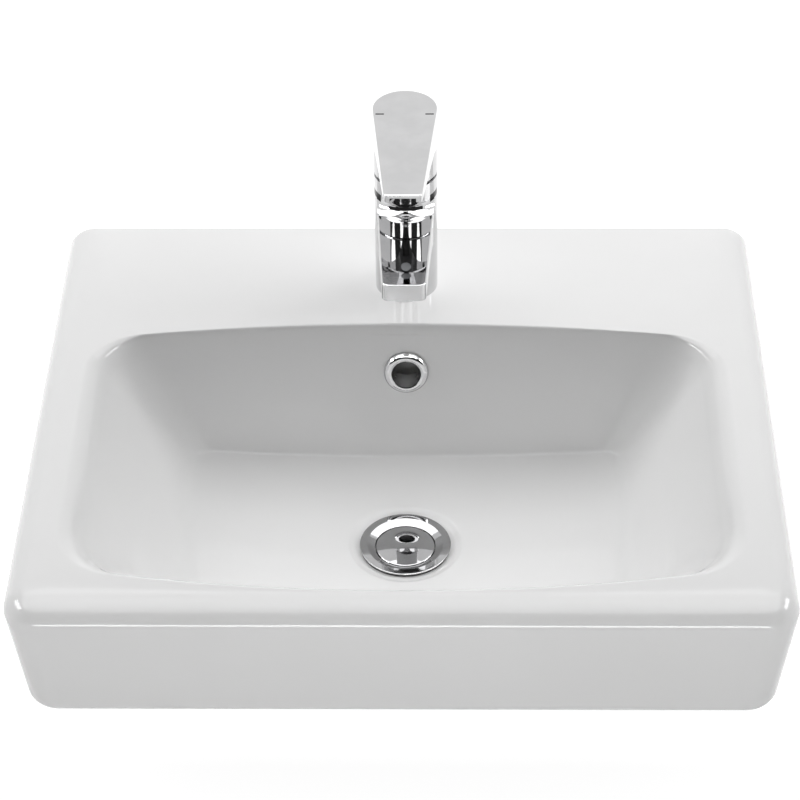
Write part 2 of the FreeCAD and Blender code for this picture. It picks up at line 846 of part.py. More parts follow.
def spindle():
    bar = block(-spindle_half_width, spindle_half_width, -spindle_half_width, spindle_half_width,
                -spindle_half_width, spindle_reach)
    bar = bar.fuse([disc(spindle_rod_radius, -spindle_arm, 0.0),
                    Part.makeSphere(spindle_ball_radius, along_z * -spindle_arm)])
    hole = rod(pivot_pin_radius + pivot_pin_gap, along_x * -column_radius, along_x * column_radius)
    return leaning(bar.cut(hole))


def cartridge_clamp_nut():
    """A ring nut with a hexagon socket that screws into the neck and holds the cartridge down."""
    low = disc_floor + housing_height
    high = column_height + neck_height
    nut = disc(chamber_bore_radius, low, high)
    nut = nut.cut(hexagon(clamp_nut_socket_flats, low - overrun, high + overrun))
    nut.translate(tap_place)
    return nut


def collar_ring():
    """The visible ring over the neck, with the dome that closes the cartridge under the lever."""
    neck_top = column_height + neck_height
    centre = along_z * pivot_height
    ring = disc(column_radius, column_height, pivot_height)
    dome = Part.makeSphere(dome_radius, centre).cut(
        disc(column_radius, pivot_height - column_radius, pivot_height))
    ring = ring.fuse(dome)
    ring = ring.cut([
        disc(neck_radius + collar_bore_gap, column_height - overrun, neck_top),
        Part.makeSphere(dome_radius - dome_wall, centre),
        disc(dome_opening_radius, pivot_height, pivot_height + column_radius),
    ])
    ring.translate(tap_place)
    return ring.removeSplitter()


def lever_plate():
    """The flat lever: its plan outline crossed with its side outline."""
    taper = math.atan2(column_radius - lever_tip_half_width, lever_reach)
    tangent_x = column_radius * math.cos(taper)
    tangent_y = -column_radius * math.sin(taper)
    tip_y = -lever_reach
    plan = Part.Face(Part.Wire([
        Part.Arc(FreeCAD.Vector(tangent_x, tangent_y, 0), FreeCAD.Vector(0, column_radius, 0),
                 FreeCAD.Vector(-tangent_x, tangent_y, 0)).toShape(),
        Part.makeLine(FreeCAD.Vector(-tangent_x, tangent_y, 0),
                      FreeCAD.Vector(-lever_tip_half_width, tip_y, 0)),
        Part.makeLine(FreeCAD.Vector(-lever_tip_half_width, tip_y, 0),
                      FreeCAD.Vector(lever_tip_half_width, tip_y, 0)),
        Part.makeLine(FreeCAD.Vector(lever_tip_half_width, tip_y, 0),
                      FreeCAD.Vector(tangent_x, tangent_y, 0)),
    ]))
    slab = plan.extrude(along_z * lever_top)
    corners = [edge for edge in slab.Edges
               if edge.BoundBox.YMax < tip_y + lever_tip_corner
               and edge.BoundBox.ZLength > lever_tip_corner]
    slab = slab.makeFillet(lever_tip_corner, corners)
    tip_low = lever_top - lever_tip_thickness
    ceiling = pivot_height + dome_radius + handle_dome_gap
    side = Part.Face(Part.makePolygon([
        FreeCAD.Vector(-column_radius, column_radius, lever_top),
        FreeCAD.Vector(-column_radius, tip_y, lever_top),
        FreeCAD.Vector(-column_radius, tip_y, tip_low),
        FreeCAD.Vector(-column_radius, -column_radius, lever_root_underside),
        FreeCAD.Vector(-column_radius, 0, ceiling),
        FreeCAD.Vector(-column_radius, column_radius, ceiling),
        FreeCAD.Vector(-column_radius, column_radius, lever_top),
    ]))
    return slab.common(side.extrude(along_x * (column_radius + column_radius)))


def tap_handle():
    bottom = pivot_height + handle_gap
    ceiling = pivot_height + dome_radius + handle_dome_gap
    handle = disc(column_radius, bottom, lever_top).fuse(lever_plate()).removeSplitter()
    top_edges = [edge for edge in handle.Edges
                 if edge.BoundBox.ZMin > lever_top - spout_edge_radius]
    handle = handle.makeFillet(lever_edge_radius, top_edges)
    rear_rise = column_radius * math.tan(math.radians(handle_clearance_angle))
    relief = Part.Face(Part.makePolygon([
        FreeCAD.Vector(-column_radius, 0, bottom),
        FreeCAD.Vector(-column_radius, column_radius, bottom + rear_rise),
        FreeCAD.Vector(-column_radius, column_radius, bottom),
        FreeCAD.Vector(-column_radius, 0, bottom),
    ])).extrude(along_x * (column_radius + column_radius))
    cavity = disc(dome_radius + handle_dome_gap, bottom - overrun, ceiling)
    recess_top = lever_top - lever_recess_skin
    recess = block(-lever_recess_half_width, lever_recess_half_width, -lever_reach - overrun,
                   -lever_recess_back, lever_root_underside, recess_top)
    recess_corners = [edge for edge in recess.Edges
                      if edge.BoundBox.ZMin > recess_top - spout_edge_radius
                      and edge.BoundBox.XLength < lever_recess_skin]
    recess = recess.makeFillet(lever_tip_corner, recess_corners)
    screw_front = -column_radius - overrun
    handle = handle.cut([relief, cavity, recess])
    boss = disc(socket_boss_radius, socket_boss_above_pivot, dome_radius + spindle_ball_radius)
    boss.rotate(middle, along_x, spindle_lean)
    boss.translate(along_z * pivot_height)
    handle = handle.fuse(boss)
    socket = block(-spindle_half_width, spindle_half_width, -spindle_half_width,
                   spindle_half_width, 0.0, spindle_reach)
    socket.rotate(middle, along_x, spindle_lean)
    socket.translate(along_z * pivot_height)
    screw_bore = rod(screw_radius, FreeCAD.Vector(0, screw_front, screw_height),
                     FreeCAD.Vector(0, 0, screw_height))
    cap_bore = rod(cap_radius, FreeCAD.Vector(0, screw_front, screw_height),
                   FreeCAD.Vector(0, -column_radius + cap_length, screw_height))
    handle = handle.cut([socket, screw_bore, cap_bore])
    handle.translate(tap_place)
    return handle


def handle_grub_screw():
    """The screw in the handle's front, tight against the leaning spindle."""
    start = FreeCAD.Vector(0, -column_radius + cap_length, screw_height)
    screw = rod(screw_radius, start, start + along_y * screw_length)
    screw.translate(tap_place)
    return screw.cut(spindle_envelope())


def spindle_envelope():
    """The space that the spindle's square bar takes, run on past its front face."""
    return leaning(block(-spindle_half_width, spindle_half_width, -spindle_half_width,
                         column_radius, 0.0, spindle_reach + overrun))


def handle_index_cap():
    start = FreeCAD.Vector(0, -column_radius - cap_proud, screw_height)
    cap = rod(cap_radius, start, start + along_y * (cap_length + cap_proud))
    cap.translate(tap_place)
    return cap


def aerator_place():
    outlet_y = -spout_reach + aerator_back_from_tip
    return tap_place + FreeCAD.Vector(0, outlet_y, spout_top - spout_lip_height)


def aerator_housing():
    high = aerator_bore_height - aerator_washer_thickness
    ring = tube(aerator_bore_radius - aerator_wall, aerator_bore_radius, -aerator_proud, high)
    ring.translate(aerator_place())
    return ring


def aerator_insert():
    """The jet former: a plug with rings of fine holes."""
    low = -aerator_proud / 2
    radius = aerator_bore_radius - aerator_wall
    plug = disc(radius, low, low + aerator_insert_height)
    holes = [disc(aerator_hole_radius, low - overrun, low + aerator_insert_height + overrun)]
    for ring in range(1, aerator_hole_rings + 1):
        hole = disc(aerator_hole_radius, low - overrun, low + aerator_insert_height + overrun,
                    ring * aerator_hole_pitch)
        holes += around(hole, aerator_holes_per_ring * ring)
    plug = plug.cut(holes)
    plug.translate(aerator_place())
    return plug


def aerator_washer():
    high = aerator_bore_height
    washer = tube(aerator_bore_radius - aerator_washer_width, aerator_bore_radius,
                  high - aerator_washer_thickness, high)
    washer.translate(aerator_place())
    return washer


def backnut_low():
    """The backnut's underside, measured up from the seat."""
    clamped = lower_seal_thickness + slip_washer_thickness + backnut_height
    return boss_bottom - seat_level - clamped


def waste_flange():
    """The flange, the tail whose thread ends in a groove, and the spider for the latch."""
    tail_low = -tail_length
    groove_high = backnut_low()
    groove_low = groove_high - tail_groove_width
    groove_radius = tail_radius - tail_groove_depth
    body = spun((
        (tail_bore_radius, tail_low),
        (tail_radius, tail_low),
        (tail_radius, groove_low),
        (groove_radius, groove_low),
        (groove_radius, groove_high),
        (tail_radius, groove_high),
        (tail_radius, -waste_hole_funnel),
        (flange_cone_foot, -waste_hole_funnel),
        (top_seal_inner_radius, top_seal_thickness),
        (flange_radius, top_seal_thickness),
        (flange_radius, flange_lip),
        (flange_face_inner_radius, flange_lip),
        (recess_radius, recess_mouth),
        (recess_radius, -recess_depth),
        (tail_bore_radius, -recess_depth),
    ))
    body = body.makeFillet(flange_lip_round, circles_of(body, flange_radius, flange_lip))
    spider_low = -spider_below_seat - spider_height
    spider_high = -spider_below_seat
    hub = disc(spider_hub_radius, spider_low, spider_high)
    arm = block(0.0, (tail_radius + tail_bore_radius) / 2, -spider_arm_half_width,
                spider_arm_half_width, spider_low, spider_high)
    body = body.fuse([hub] + around(arm, spider_arms, start=quarter_turn))
    slot = block(0.0, tail_radius + overrun, -slot_half_width, slot_half_width,
                 duct_roof - duct_height - seat_level, duct_roof - seat_level)
    slots = [piece.cut(disc(spider_hub_radius, -tail_length, 0.0))
             for piece in around(slot, slot_count)]
    body = body.cut(slots + [disc(latch_radius, -tail_length, 0.0)])
    body.translate(waste_place)
    return body.removeSplitter()


def waste_top_seal():
    seal = tube(top_seal_inner_radius, flange_radius - flange_lip_round, 0.0, top_seal_thickness)
    seal.translate(waste_place)
    return seal


def waste_lower_seal():
    high = boss_bottom - seat_level
    low = high - lower_seal_thickness
    seal = spun((
        (tail_radius, low),
        (lower_seal_radius, low),
        (lower_seal_radius, high),
        (waste_hole_radius, high),
        (tail_radius, high + lower_seal_chamfer),
    ))
    seal.translate(waste_place)
    return seal


def waste_slip_washer():
    high = boss_bottom - seat_level - lower_seal_thickness
    washer = tube(tail_radius, lower_seal_radius, high - slip_washer_thickness, high)
    washer.translate(waste_place)
    return washer


def waste_backnut():
    low = backnut_low()
    high = low + backnut_height
    corner = hexagon_corner(backnut_flats)
    nut = hexagon(backnut_flats, low, high)
    rounding = spun((
        (0.0, low),
        (corner - backnut_chamfer, low),
        (corner, low + backnut_chamfer),
        (corner, high - backnut_chamfer),
        (corner - backnut_chamfer, high),
        (0.0, high),
    ))
    nut = nut.common(rounding).cut(disc(tail_radius, low - overrun, high + overrun))
    nut.translate(waste_place)
    return nut


def plug_cap():
    """The round push plug that shows in the flange, with its domed top."""
    ball_centre = plug_rim_top - math.sqrt(plug_dome_radius ** 2 - plug_radius ** 2)
    cap = disc(plug_radius, plug_rim_top - plug_rim_thickness, ball_centre + plug_dome_radius)
    cap = cap.common(Part.makeSphere(plug_dome_radius, along_z * ball_centre))
    cap = cap.makeFillet(plug_edge_radius, circles_of(cap, plug_radius, plug_rim_top))
    cap.translate(waste_place)
    return cap


def plug_seal():
    high = plug_rim_top - plug_rim_thickness
    seal = tube(plug_seal_inner_radius, plug_seal_radius, plug_seal_gap - recess_depth, high)
    seal.translate(waste_place)
    return seal


def plug_stem():
    """The stem under the plug, with the holder that clamps the plug's seal."""
    high = plug_rim_top - plug_rim_thickness
    stem = disc(stem_radius, high - stem_length, high)
    stem = stem.fuse(disc(plug_holder_radius, plug_seal_gap - recess_depth, high))
    stem.translate(waste_place)
    return stem.removeSplitter()


def push_latch():
    """The sleeve of the push latch, screwed into the spider's hub."""
    high = -latch_top_below_seat
    low = high - latch_length
    sleeve = disc(latch_radius, low, high)
    sleeve = sleeve.cut(disc(stem_radius + stem_gap, low + latch_floor, high + overrun))
    sleeve.translate(waste_place)
    return sleeve


def latch_spring():
    """The spring that lifts the stem, pressed short under the closed plug."""
    low = -latch_top_below_seat - latch_length + latch_floor + spring_wire_radius
    high = plug_rim_top - plug_rim_thickness - stem_length - spring_wire_radius
    pitch = (high - low) / spring_turns
    path = Part.makeHelix(pitch, high - low, spring_coil_radius)
    section = Part.Wire(Part.makeCircle(spring_wire_radius,
                                        FreeCAD.Vector(spring_coil_radius, 0, 0), along_y))
    coil = Part.Wire(path.Edges).makePipeShell([section], True, True)
    coil.translate(waste_place + along_z * low)
    return coil


part_makers = (
    basin, overflow_ring, tap_body, tap_base_seal, tap_mounting_stud, tap_rubber_horseshoe,
    tap_steel_horseshoe, tap_mounting_nut, cartridge_port_seals, cartridge_base,
    cartridge_housing, fixed_disc, moving_disc, disc_carriage, cartridge_turner,
    lever_pivot_pin, spindle, cartridge_clamp_nut, collar_ring, tap_handle, handle_grub_screw,
    handle_index_cap, aerator_housing, aerator_insert, aerator_washer, waste_flange,
    waste_top_seal, waste_lower_seal, waste_slip_washer, waste_backnut, plug_cap, plug_seal,
    plug_stem, push_latch, latch_spring,
)

os.makedirs("parts", exist_ok=True)
for maker in part_makers:
    shape = maker()
    shape.exportStep(os.path.join("parts", maker.__name__ + ".step"))
    print(maker.__name__, len(shape.Solids), shape.isValid(), round(shape.Volume))
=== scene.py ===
import json
import math

import bmesh
import bpy
from mathutils import Matrix, Vector


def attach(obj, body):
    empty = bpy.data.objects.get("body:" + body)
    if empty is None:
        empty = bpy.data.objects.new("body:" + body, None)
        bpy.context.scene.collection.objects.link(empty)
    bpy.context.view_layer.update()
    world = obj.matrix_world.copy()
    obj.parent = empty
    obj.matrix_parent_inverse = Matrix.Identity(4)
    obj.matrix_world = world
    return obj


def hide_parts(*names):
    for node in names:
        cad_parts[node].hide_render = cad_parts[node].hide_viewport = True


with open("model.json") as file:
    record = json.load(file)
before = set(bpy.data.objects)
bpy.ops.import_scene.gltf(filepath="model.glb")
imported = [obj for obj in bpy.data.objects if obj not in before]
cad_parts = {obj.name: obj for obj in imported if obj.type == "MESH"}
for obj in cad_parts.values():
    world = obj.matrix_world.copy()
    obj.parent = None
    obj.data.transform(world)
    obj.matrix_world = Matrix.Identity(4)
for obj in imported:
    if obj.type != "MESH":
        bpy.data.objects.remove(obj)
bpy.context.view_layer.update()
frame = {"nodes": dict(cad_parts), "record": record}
nodes = frame["nodes"]
mm = 0.001  # the model is in metres, the sizes below in millimetres
sameSpot = 1e-6  # points nearer than this, in metres, are one


def at(x, out, z):
    # a place from its distance out from the wall, in millimetres
    return Vector((x, -out, z)) * mm


def pieceFrom(bm, name, body, replaced):
    mesh = bpy.data.meshes.new(name)
    bm.to_mesh(mesh)
    bm.free()
    piece = bpy.data.objects.new(name, mesh)
    bpy.context.scene.collection.objects.link(piece)
    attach(piece, body)
    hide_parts(*replaced)
    return piece


# camera, fitted to the photo's straight edges and circles
photoCamera = {
    "place": (29.30, 1641.09, 1211.04),
    "down": 38.674,
    "turn": -1.286,
    "roll": -0.763,
    "focalPixels": 2709.86,
    "framePixels": 800.0,
    "sensor": 36.0,
}


def setUpCamera(facts):
    down, turn, roll = (math.radians(facts[key]) for key in ("down", "turn", "roll"))
    forward = Vector((math.sin(turn) * math.cos(down), math.cos(turn) * math.cos(down), -math.sin(down)))
    right = Vector((math.cos(turn), -math.sin(turn), 0))
    up = right.cross(forward)
    rightRolled = right * math.cos(roll) + up * math.sin(roll)
    upRolled = up * math.cos(roll) - right * math.sin(roll)
    data = bpy.data.cameras.new("photoCamera")
    data.sensor_width = facts["sensor"]
    data.lens = facts["focalPixels"] / facts["framePixels"] * facts["sensor"]
    data.clip_end = 50
    camera = bpy.data.objects.new("photoCamera", data)
    bpy.context.scene.collection.objects.link(camera)
    turned = Matrix((rightRolled, upRolled, -forward)).transposed().to_4x4()
    camera.matrix_world = Matrix.Translation(at(*facts["place"])) @ turned
    bpy.context.scene.camera = camera


setUpCamera(photoCamera)
print("camera set")


def newMaterial(name):
    material = bpy.data.materials.new(name)
    material.use_nodes = True
    tree = material.node_tree
    return material, tree, tree.nodes["Principled BSDF"]


def noiseOf(tree, scale, detail=3.0):
    where = tree.nodes.new("ShaderNodeTexCoord")
    noise = tree.nodes.new("ShaderNodeTexNoise")
    noise.inputs["Scale"].default_value = scale
    noise.inputs["Detail"].default_value = detail
    tree.links.new(where.outputs["Object"], noise.inputs["Vector"])
    return noise


def rampTo(tree, source, target, low, high, lowAt=0.35, highAt=0.65):
    ramp = tree.nodes.new("ShaderNodeValToRGB")
    ramp.color_ramp.elements[0].position = lowAt
    ramp.color_ramp.elements[1].position = highAt
    ramp.color_ramp.elements[0].color = (*low, 1)
    ramp.color_ramp.elements[1].color = (*high, 1)
    tree.links.new(source, ramp.inputs["Fac"])
    tree.links.new(ramp.outputs["Color"], target)


def rangeTo(tree, source, target, low, high):
    spread = tree.nodes.new("ShaderNodeMapRange")
    spread.inputs["To Min"].default_value = low
    spread.inputs["To Max"].default_value = high
    tree.links.new(source, spread.inputs["Value"])
    tree.links.new(spread.outputs["Result"], target)


def bumpTo(tree, source, shader, strength, distance):
    bump = tree.nodes.new("ShaderNodeBump")
    bump.inputs["Strength"].default_value = strength
    bump.inputs["Distance"].default_value = distance
    tree.links.new(source, bump.inputs["Height"])
    tree.links.new(bump.outputs["Normal"], shader.inputs["Normal"])


def makeFinish(name, low, high, rough, metal=0.0, colourScale=30.0, bumpScale=200.0, bumpStrength=0.05,
               bumpDepth=0.0002):
    # a finish with slight cloudiness in its colour and sheen and a fine unevenness
    material, tree, shader = newMaterial(name)
    shader.inputs["Metallic"].default_value = metal
    clouds = noiseOf(tree, colourScale)
    rampTo(tree, clouds.outputs["Fac"], shader.inputs["Base Color"], low, high)
    rangeTo(tree, clouds.outputs["Fac"], shader.inputs["Roughness"], rough[0], rough[1])
    fine = noiseOf(tree, bumpScale)
    bumpTo(tree, fine.outputs["Fac"], shader, bumpStrength, bumpDepth)
    return material


glaze = makeFinish("whiteGlaze", (0.835, 0.835, 0.835), (0.85, 0.85, 0.85), (0.04, 0.08), colourScale=9.0,
                   bumpScale=45.0, bumpStrength=0.02, bumpDepth=0.001)
chrome = makeFinish("polishedChrome", (0.60, 0.60, 0.605), (0.64, 0.64, 0.645), (0.015, 0.04), metal=1.0,
                    colourScale=60.0, bumpScale=300.0, bumpStrength=0.01, bumpDepth=0.0001)
# a darker copy of the chrome for the waste flange and the plug: painted shade for their place low in the bowl
shadedWasteChrome = makeFinish("greyChromePaintedShade", (0.42, 0.42, 0.425), (0.46, 0.46, 0.465), (0.02, 0.05), metal=1.0,
                         colourScale=60.0, bumpScale=300.0, bumpStrength=0.01, bumpDepth=0.0001)
rubber = makeFinish("blackRubber", (0.018, 0.018, 0.018), (0.03, 0.03, 0.03), (0.5, 0.7), bumpScale=900.0,
                    bumpStrength=0.2)
greyPlastic = makeFinish("greyPlastic", (0.32, 0.33, 0.34), (0.36, 0.37, 0.38), (0.25, 0.35), bumpScale=700.0)
whitePlastic = makeFinish("whitePlastic", (0.72, 0.72, 0.70), (0.78, 0.78, 0.76), (0.3, 0.45),
                          bumpScale=700.0)
discCeramic = makeFinish("discCeramic", (0.75, 0.74, 0.70), (0.8, 0.79, 0.76), (0.15, 0.25))
brass = makeFinish("turnedBrass", (0.62, 0.45, 0.20), (0.70, 0.52, 0.25), (0.2, 0.35), metal=1.0)
steel = makeFinish("brushedSteel", (0.52, 0.52, 0.52), (0.62, 0.62, 0.62), (0.25, 0.4), metal=1.0)

# places on the chrome that show dark, painted near black as painted shade and painted reflection, in metres:
# axis, middle and half length of each test
paintedDarkMarks = {
    # painted dark reflections: two dashes on the lever, left and right
    "darkReflectionDashes": {"X": (0.0170, 0.0029), "Y": (-0.0790, 0.0007), "Z": (0.2090, 0.0015)},
    # painted shade: the inside of the hollow under the lever
    "hollow": {"X": (0.0, 0.0087), "Y": (-0.149, 0.0285), "Z": (0.1990, 0.0083)},
    # painted shade: a band on the left and right of the column, in the gap under the collar
    "collarGapShade": {"X": (0.0205, 0.0035), "Z": (0.1447, 0.0026)},
}
# the near black of the painted shade and painted reflections
paintedDarkColour = (0.02, 0.02, 0.02, 1)


def joined(tree, first, last, operation):
    # one value out of two, or the last alone where there is no first
    if first is None:
        return last
    both = tree.nodes.new("ShaderNodeMath")
    both.operation = operation
    tree.links.new(first, both.inputs[0])
    tree.links.new(last, both.inputs[1])
    return both.outputs["Value"]


def chromeWithPaintedDark(name, marks):
    # a copy of the chrome with painted shade and painted reflections: near black where every test of a mark
    # holds, the same on both sides of the middle
    material = chrome.copy()
    material.name = name
    tree = material.node_tree
    shader = tree.nodes["Principled BSDF"]
    where = tree.nodes.new("ShaderNodeTexCoord")
    split = tree.nodes.new("ShaderNodeSeparateXYZ")
    tree.links.new(where.outputs["Object"], split.inputs["Vector"])
    dark = None
    for tests in marks:
        mark = None
        for axis, (middle, half) in tests.items():
            source = split.outputs[axis]
            if axis == "X":
                size = tree.nodes.new("ShaderNodeMath")
                size.operation = "ABSOLUTE"
                tree.links.new(source, size.inputs[0])
                source = size.outputs["Value"]
            test = tree.nodes.new("ShaderNodeMath")
            test.operation = "COMPARE"
            tree.links.new(source, test.inputs[0])
            test.inputs[1].default_value = middle
            test.inputs[2].default_value = half
            mark = joined(tree, mark, test.outputs["Value"], "MULTIPLY")
        dark = joined(tree, dark, mark, "MAXIMUM")
    colour = shader.inputs["Base Color"]
    mix = tree.nodes.new("ShaderNodeMix")
    mix.data_type = "RGBA"  # sockets 6 and 7 are then its colours and output 2 the result
    tree.links.new(dark, mix.inputs[0])
    tree.links.new(colour.links[0].from_socket, mix.inputs[6])
    mix.inputs[7].default_value = paintedDarkColour
    tree.links.new(mix.outputs[2], colour)
    return material


leverChromePaintedDark = chromeWithPaintedDark("leverChromePaintedDark", (paintedDarkMarks["darkReflectionDashes"], paintedDarkMarks["hollow"]))
columnChromePaintedShade = chromeWithPaintedDark("columnChromePaintedShade", (paintedDarkMarks["collarGapShade"],))
finishOf = {
    "glaze": glaze, "chrome": chrome, "black_rubber": rubber, "grey_plastic": greyPlastic,
    "white_plastic": whitePlastic, "disc_ceramic": discCeramic, "brass": brass, "steel": steel,
}
print("finishes made")


finishOfNode = {
    "waste_flange": shadedWasteChrome, "plug_cap": shadedWasteChrome, "tap_handle": leverChromePaintedDark, "tap_body": columnChromePaintedShade,
}
slotOfNode = {part["node"]: part["material_slot"] for part in frame["record"]["subparts"]}
for name, node in nodes.items():
    finish = finishOfNode.get(name, finishOf[slotOfNode[name]])
    node.data.materials.clear()
    node.data.materials.append(finish)
print("frame dressed")


# the ceramic: every ring of its skin has the same number of points, from the middle of the back round
ringSteps = {"backBow": 26, "backCorner": 14, "side": 26, "frontCorner": 14, "frontBow": 26}
basinSizes = {
    "halfWidth": 250.0, "depth": 415.0, "rim": 62.0, "apronFoot": -28.0, "wall": 11.0, "deckUnder": 46.0,
    "sideLean": 10.2, "innerLean": 1.0, "frontCorner": 21.0, "backCorner": 8.0, "innerCorner": 10.0,
    "topRound": 17.0, "backRound": 4.0, "bottomRound": 7.6, "roundSteps": 12,
    "apronLevels": (-19.0, 0.0, 20.0, 36.0, 43.0),
    "deckJoin": 0.25,  # the last ring of the deck stands this far outside the bowl's edge
    "skinGap": 2.0,  # least distance between the bowl's outer rings and the deck's underside
    "sharpAngle": 38.0,  # in degrees: edges that fold more than this stay crisp
}
bowlSizes = {
    "atRim": {"half": 222.0, "back": 119.0, "front": 397.5, "backCorner": 42.0, "frontCorner": 44.0,
              "backBow": 1340.0, "frontBow": 1110.0},
    "atFoot": {"half": 149.0, "back": 138.3, "front": 324.0, "backCorner": 13.0, "frontCorner": 66.0,
               "backBow": 6000.0, "frontBow": 1500.0},
    "footDepth": 107.0,  # below the rim, on the centreline
    "footRise": 7.0,  # how much higher the foot lies at its ends
    # rows of depth, side, back and front shares between the two outlines
    "rows": ((0.0, 0.0, 0.0, 0.0), (0.008, 0.05, 0.06, 0.03), (0.03, 0.11, 0.12, 0.065),
             (0.08, 0.175, 0.18, 0.11), (0.16, 0.24, 0.223, 0.175), (0.91, 0.88, 0.86, 0.79),
             (0.96, 0.93, 0.9, 0.85), (0.99, 0.97, 0.938, 0.92), (1.0, 1.0, 1.0, 1.0)),
    "rowSteps": (3, 4, 4, 5, 20, 4, 3, 2),  # rings from each row to the next
    "reaches": (107.0, 73.0, 19.3, 73.5),  # how far depth, side, back and front go between the outlines
    "rimPull": 1.3,  # how strongly the wall turns outward where it meets the deck
    "underDeckRow": 4,  # the row whose outline the bowl's outside has at the deck's underside
    "floorSteps": 18,
    "floorSpread": 1.3,
    "floorSag": 1.5,
}
wasteSizes = {
    "out": 229.3, "seat": -50.1, "dishRadius": 42.5, "dishFoot": 33.6, "dishDepth": 3.1, "dishSteps": 7,
    "seatInner": 25.5, "hole": 23.5, "funnel": 6.0, "bossRadius": 41.0, "bossFoot": -83.1,
    "chamberRadius": 31.0, "chamberRoof": -61.1, "chamberFoot": -74.1, "bossEdge": 1.5, "bossFillet": 2.0,
}


def blend(first, last, share):
    return first + (last - first) * share


def endOfOutline(half, reach, corner, bow, bowSteps, cornerSteps):
    # a quarter of an outline from its middle line along the bow, then round the corner
    along = half - corner
    bowCentre = reach - bow if bow else 0.0
    cornerAt = bowCentre + math.sqrt((bow - corner) ** 2 - along ** 2) if bow else reach - corner
    lean = math.atan2(cornerAt - bowCentre, along) if bow else math.pi / 2
    quarter = []
    for step in range(bowSteps):
        if bow:
            angle = blend(math.pi / 2, lean, step / bowSteps)
            quarter.append((bow * math.cos(angle), bowCentre + bow * math.sin(angle)))
        else:
            quarter.append((along * step / bowSteps, reach))
    for step in range(cornerSteps + 1):
        angle = lean * (1 - step / cornerSteps)
        quarter.append((along + corner * math.cos(angle), cornerAt + corner * math.sin(angle)))
    return quarter


def outlineOf(half, back, front, backCorner, frontCorner, backBow=0.0, frontBow=0.0):
    middle, reach = (back + front) / 2, (front - back) / 2
    backEnd = endOfOutline(half, reach, backCorner, backBow, ringSteps["backBow"], ringSteps["backCorner"])
    frontEnd = endOfOutline(half, reach, frontCorner, frontBow, ringSteps["frontBow"],
                            ringSteps["frontCorner"])
    right = [(x, middle - y) for x, y in backEnd]
    start, end = right[-1], (frontEnd[-1][0], middle + frontEnd[-1][1])
    for step in range(1, ringSteps["side"]):
        right.append(tuple(blend(start[i], end[i], step / ringSteps["side"]) for i in range(2)))
    right += [(x, middle + y) for x, y in reversed(frontEnd)]
    return right + [(-x, out) for x, out in reversed(right[1:-1])]


def level(outline, z):
    return [(x, out, z) for x, out in outline]


def smoothRows(rows, steps, scale, firstPull):
    # a curve through the rows, with each tangent weighted by the spacing of its neighbours
    gaps = [math.dist([a * s for a, s in zip(first, scale)], [a * s for a, s in zip(last, scale)])
            for first, last in zip(rows, rows[1:])]
    slopes = [[(b - a) / gap for a, b in zip(first, last)] for first, last, gap in zip(rows, rows[1:], gaps)]
    tangents = [[0.0] + [value * firstPull for value in slopes[0][1:]]]
    for before, after, gapBefore, gapAfter in zip(slopes, slopes[1:], gaps, gaps[1:]):
        both = gapBefore + gapAfter
        tangents.append([(a * gapAfter + b * gapBefore) / both for a, b in zip(before, after)])
    tangents.append(slopes[-1])
    curve = [rows[0]]
    for index, count in enumerate(steps):
        for step in range(1, count + 1):
            t = step / count
            weights = (2 * t ** 3 - 3 * t ** 2 + 1, (t ** 3 - 2 * t ** 2 + t) * gaps[index],
                       3 * t ** 2 - 2 * t ** 3, (t ** 3 - t ** 2) * gaps[index])
            parts = zip(rows[index], tangents[index], rows[index + 1], tangents[index + 1])
            curve.append(tuple(sum(w * p for w, p in zip(weights, part)) for part in parts))
    return curve


def bowlOutline(row, grow=0.0):
    depthShare, side, back, front = row
    rim, foot = bowlSizes["atRim"], bowlSizes["atFoot"]
    return outlineOf(
        blend(rim["half"], foot["half"], side) + grow, blend(rim["back"], foot["back"], back) - grow,
        blend(rim["front"], foot["front"], front) + grow,
        blend(rim["backCorner"], foot["backCorner"], depthShare) + grow,
        blend(rim["frontCorner"], foot["frontCorner"], depthShare) + grow,
        blend(rim["backBow"], foot["backBow"], depthShare) + grow,
        blend(rim["frontBow"], foot["frontBow"], depthShare) + grow)


def bowlRing(row, drop=0.0, grow=0.0):
    ring = []
    for x, out in bowlOutline(row, grow):
        fromMiddle = min(abs(x) / bowlSizes["atFoot"]["half"], 1.0)
        depth = bowlSizes["footDepth"] - bowlSizes["footRise"] * fromMiddle ** 2
        ring.append((x, out, basinSizes["rim"] - drop - depth * row[0]))
    return ring


def circleFacing(ring, radius, z):
    # a circle about the waste with its points in the directions of a ring's points
    circle = []
    for x, out in (point[:2] for point in ring):
        far = math.hypot(x, out - wasteSizes["out"])
        circle.append((x / far * radius, wasteSizes["out"] + (out - wasteSizes["out"]) / far * radius, z))
    return circle


def floorRings(foot):
    dishTop = wasteSizes["seat"] + wasteSizes["dishDepth"]
    target = circleFacing(foot, wasteSizes["dishRadius"], dishTop)
    rings = []
    for step in range(1, bowlSizes["floorSteps"] + 1):
        share = (step / bowlSizes["floorSteps"]) ** bowlSizes["floorSpread"]
        fall = 1 - (1 - share) ** bowlSizes["floorSag"]
        rings.append([(blend(a[0], b[0], share), blend(a[1], b[1], share), blend(a[2], b[2], fall))
                      for a, b in zip(foot, target)])
    for step in range(1, wasteSizes["dishSteps"] + 1):
        share = step / wasteSizes["dishSteps"]
        rings.append(circleFacing(foot, blend(wasteSizes["dishRadius"], wasteSizes["dishFoot"], share),
                                  dishTop - wasteSizes["dishDepth"] * (1 - math.cos(math.pi * share)) / 2))
    return rings


def apronRing(z, inset, backInset, cornerInset):
    widest = basinSizes["rim"] - basinSizes["topRound"]
    lean = max(0.0, (widest - z) / (widest - basinSizes["apronFoot"])) * basinSizes["sideLean"]
    return level(outlineOf(basinSizes["halfWidth"] - lean - inset, backInset, basinSizes["depth"] - inset,
                           basinSizes["backCorner"] - backInset, basinSizes["frontCorner"] - cornerInset), z)


